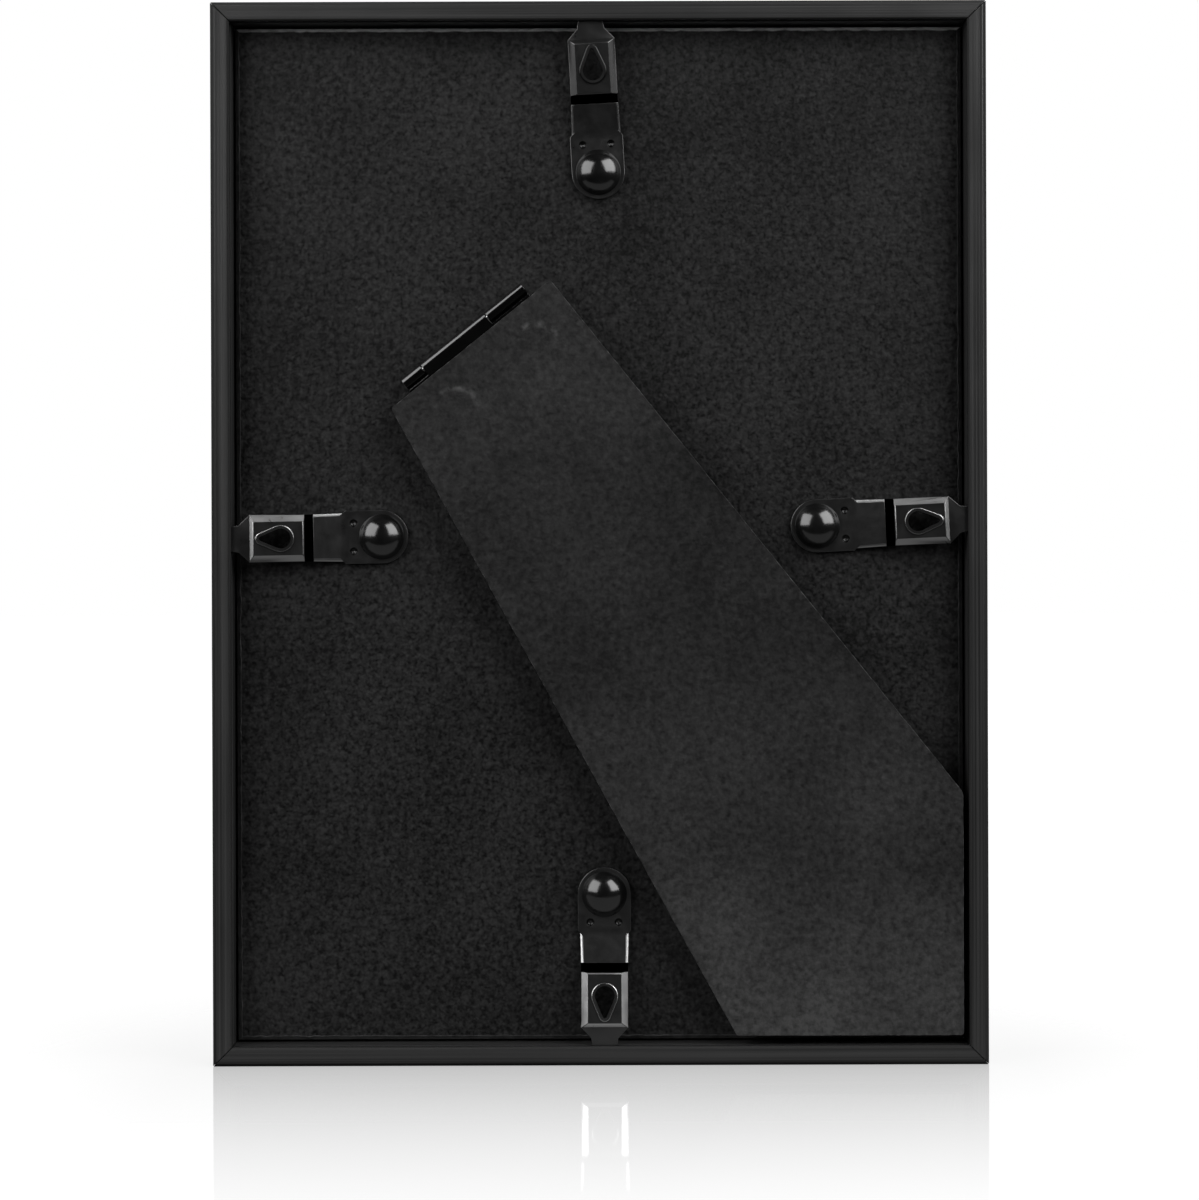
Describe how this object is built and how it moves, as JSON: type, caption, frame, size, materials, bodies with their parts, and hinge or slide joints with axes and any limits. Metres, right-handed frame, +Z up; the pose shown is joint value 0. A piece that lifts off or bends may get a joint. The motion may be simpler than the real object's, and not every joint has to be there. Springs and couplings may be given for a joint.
{
  "type": "easel back photo frame",
  "caption": "Black photo frame with an easel back: mitred rails hold a pane and a covered backboard, with riveted turn clips and a hinged strut that folds flat.",
  "frame": {"origin": "middle of the bottom rail's outer face, which the frame stands on", "axes": "+Z up the frame, +Y out of the picture side, +X to the right as seen from behind"},
  "size_m": [0.1368, 0.015, 0.1875],
  "materials": {
    "rail": "satin, fine streaks",
    "corner_key": "moulded",
    "pane": "clear",
    "print_paper": "blank, matt",
    "board": "raw fibreboard",
    "grain_paper": "leather grain, low sheen",
    "clip_lacquer": "gloss black lacquer",
    "rivet_lacquer": "gloss black lacquer",
    "hinge_lacquer": "gloss black lacquer",
    "hinge_pin": "drawn wire",
    "strut_board": "die cut, dyed black",
    "strut_paper": "fine grain, matt"
  },
  "bodies": {
    "frame": {"rail_top": "rail", "rail_right": "rail", "rail_bottom": "rail", "rail_left": "rail", "corner_key_top_left": "corner_key", "corner_key_top_right": "corner_key", "corner_key_bottom_left": "corner_key", "corner_key_bottom_right": "corner_key", "glass_pane": "pane", "photo_insert": "print_paper", "backboard": "board", "backboard_cover": "grain_paper", "clip_rivet_top": "rivet_lacquer", "clip_rivet_right": "rivet_lacquer", "clip_rivet_bottom": "rivet_lacquer", "clip_rivet_left": "rivet_lacquer", "hinge_board_leaf": "hinge_lacquer", "hinge_pin": "hinge_pin", "hinge_rivet_board_lower": "rivet_lacquer", "hinge_rivet_board_upper": "rivet_lacquer"},
    "strut": {"strut_panel": "strut_board", "strut_cover": "strut_paper", "hinge_strut_leaf": "hinge_lacquer", "hinge_rivet_strut_lower": "rivet_lacquer", "hinge_rivet_strut_upper": "rivet_lacquer"},
    "turn_clip_top": {"clip_top": "clip_lacquer"},
    "turn_clip_right": {"clip_right": "clip_lacquer"},
    "turn_clip_bottom": {"clip_bottom": "clip_lacquer"},
    "turn_clip_left": {"clip_left": "clip_lacquer"}
  },
  "joints": [
    {"name": "strut_hinge", "type": "hinge", "parent": "frame", "child": "strut", "pos_m": [-0.0239, -0.0035, 0.12875], "axis": [-0.7804, 0, -0.6252], "range_deg": [0, 30]},
    {"name": "turn_clip_top_swivel", "type": "hinge", "parent": "frame", "child": "turn_clip_top", "pos_m": [0, -0.0023, 0.1578], "axis": [0, -1, 0], "range_deg": [-90, 90]},
    {"name": "turn_clip_right_swivel", "type": "hinge", "parent": "frame", "child": "turn_clip_right", "pos_m": [0.03865, -0.0023, 0.09495], "axis": [0, -1, 0], "range_deg": [-60, 90]},
    {"name": "turn_clip_bottom_swivel", "type": "hinge", "parent": "frame", "child": "turn_clip_bottom", "pos_m": [0.00067, -0.0023, 0.0297], "axis": [0, -1, 0], "range_deg": [-90, 35]},
    {"name": "turn_clip_left_swivel", "type": "hinge", "parent": "frame", "child": "turn_clip_left", "pos_m": [-0.03865, -0.0023, 0.09325], "axis": [0, -1, 0], "range_deg": [-80, 90]}
  ]
}
